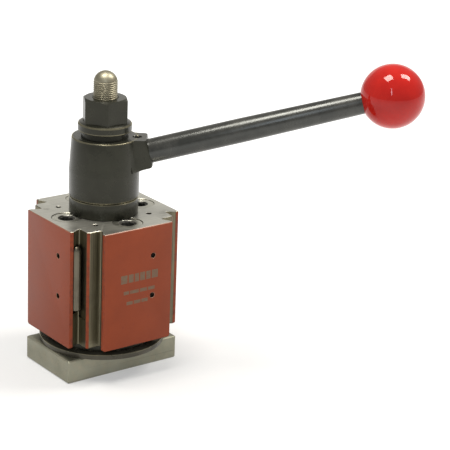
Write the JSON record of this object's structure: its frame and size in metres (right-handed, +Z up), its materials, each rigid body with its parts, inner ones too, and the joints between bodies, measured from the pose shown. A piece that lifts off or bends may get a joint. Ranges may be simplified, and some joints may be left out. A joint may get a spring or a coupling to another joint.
{
  "type": "quick change tool post",
  "caption": "Indexable square quick change tool post for a lathe, with V grooves and cam-driven clamping bars at its corners, on a T-nut blank, with a lever and ball knob.",
  "frame": {"origin": "on the axis of the clamping stud, in the plane of the underside of the T-nut blank", "axes": "+Z up along the stud; X along the long side of the T-nut blank; X and Y square to the faces of the post"},
  "size_m": [0.254, 0.212, 0.2554],
  "materials": {
    "blank_steel": "hot rolled and wire brushed, dull",
    "stud_steel": "machined, lightly oiled",
    "black_oxide": "black oxide over turned steel, satin",
    "post_paint": "brick red enamel on the outer faces, satin; grooves and ends bare ground steel",
    "dark_steel": "hardened, oil blackened",
    "ground_steel": "ground",
    "bearing_steel": "lapped",
    "bronze": "turned",
    "seal_rubber": "matt",
    "handle_black": "gloss black",
    "knob_red": "polished",
    "spring_steel": "drawn wire"
  },
  "bodies": {
    "base": {"t_nut_blank": "blank_steel", "centre_stud": "stud_steel", "base_disc": "black_oxide", "disc_dowels": "ground_steel", "clamp_sleeve": "black_oxide", "flange_nut": "black_oxide", "lift_spring": "spring_steel"},
    "thrust": {"thrust_washer_lower": "bearing_steel", "needle_rollers": "bearing_steel", "needle_cage": "bronze", "thrust_washer_upper": "bearing_steel"},
    "post": {"post_body": "post_paint", "index_ring": "black_oxide", "ring_screws": "dark_steel", "lower_bush": "bronze", "upper_bush": "bronze", "retaining_collar": "black_oxide", "collar_screw": "dark_steel", "top_plugs": "dark_steel", "face_screws": "dark_steel", "plunger_spring": "spring_steel"},
    "lever": {"lever_hub": "black_oxide", "hub_seal": "seal_rubber", "handle_bar": "handle_black", "handle_set_screw": "dark_steel", "ball_knob": "knob_red", "knob_insert": "bronze"},
    "plunger": {"index_plunger": "ground_steel"},
    "cam_1": {"cam_barrel_1": "dark_steel", "cam_seal_1": "seal_rubber"},
    "gib_1": {"gib_bar_1": "ground_steel", "push_pins_1": "ground_steel"},
    "cam_2": {"cam_barrel_2": "dark_steel", "cam_seal_2": "seal_rubber"},
    "gib_2": {"gib_bar_2": "ground_steel", "push_pins_2": "ground_steel"},
    "cam_3": {"cam_barrel_3": "dark_steel", "cam_seal_3": "seal_rubber"},
    "gib_3": {"gib_bar_3": "ground_steel", "push_pins_3": "ground_steel"},
    "cam_4": {"cam_barrel_4": "dark_steel", "cam_seal_4": "seal_rubber"},
    "gib_4": {"gib_bar_4": "ground_steel", "push_pins_4": "ground_steel"}
  },
  "joints": [
    {"name": "lift", "type": "slide", "parent": "base", "child": "thrust", "axis": [0, 0, 1], "range_m": [-0.0011, 0], "deforming": ["lift_spring"]},
    {"name": "index_turn", "type": "hinge", "parent": "thrust", "child": "post", "pos_m": [0, 0, 0.0785], "axis": [0, 0, 1], "continuous": true},
    {"name": "lever_swing", "type": "hinge", "parent": "thrust", "child": "lever", "pos_m": [0, 0, 0.165], "axis": [0, 0, 1], "range_deg": [-75, 0]},
    {"name": "plunger_slide", "type": "slide", "parent": "post", "child": "plunger", "axis": [0, 0, 1], "range_m": [0, 0.00115], "stiffness_N_per_m": 2000, "springref_m": -0.001, "deforming": ["plunger_spring"]},
    {"name": "cam_turn_1", "type": "hinge", "parent": "post", "child": "cam_1", "pos_m": [-0.0345, 0, 0.0865], "axis": [0, 0, 1], "range_deg": [-90, 0]},
    {"name": "gib_slide_1", "type": "slide", "parent": "post", "child": "gib_1", "axis": [0, -1, 0], "range_m": [0, 0.0016]},
    {"name": "cam_turn_2", "type": "hinge", "parent": "post", "child": "cam_2", "pos_m": [0, -0.0345, 0.0865], "axis": [0, 0, 1], "range_deg": [-90, 0]},
    {"name": "gib_slide_2", "type": "slide", "parent": "post", "child": "gib_2", "axis": [1, 0, 0], "range_m": [0, 0.0016]},
    {"name": "cam_turn_3", "type": "hinge", "parent": "post", "child": "cam_3", "pos_m": [0.0345, 0, 0.0865], "axis": [0, 0, 1], "range_deg": [-90, 0]},
    {"name": "gib_slide_3", "type": "slide", "parent": "post", "child": "gib_3", "axis": [0, 1, 0], "range_m": [0, 0.0016]},
    {"name": "cam_turn_4", "type": "hinge", "parent": "post", "child": "cam_4", "pos_m": [0, 0.0345, 0.0865], "axis": [0, 0, 1], "range_deg": [-90, 0]},
    {"name": "gib_slide_4", "type": "slide", "parent": "post", "child": "gib_4", "axis": [-1, 0, 0], "range_m": [0, 0.0016]}
  ],
  "couplings": [
    {"joint": "lift", "follows": "lever_swing", "m_per_rad": 0.0008399},
    {"joint": "gib_slide_1", "follows": "cam_turn_1", "m_per_rad": -0.00099},
    {"joint": "gib_slide_2", "follows": "cam_turn_2", "m_per_rad": -0.00099},
    {"joint": "gib_slide_3", "follows": "cam_turn_3", "m_per_rad": -0.00099},
    {"joint": "gib_slide_4", "follows": "cam_turn_4", "m_per_rad": -0.00099}
  ]
}
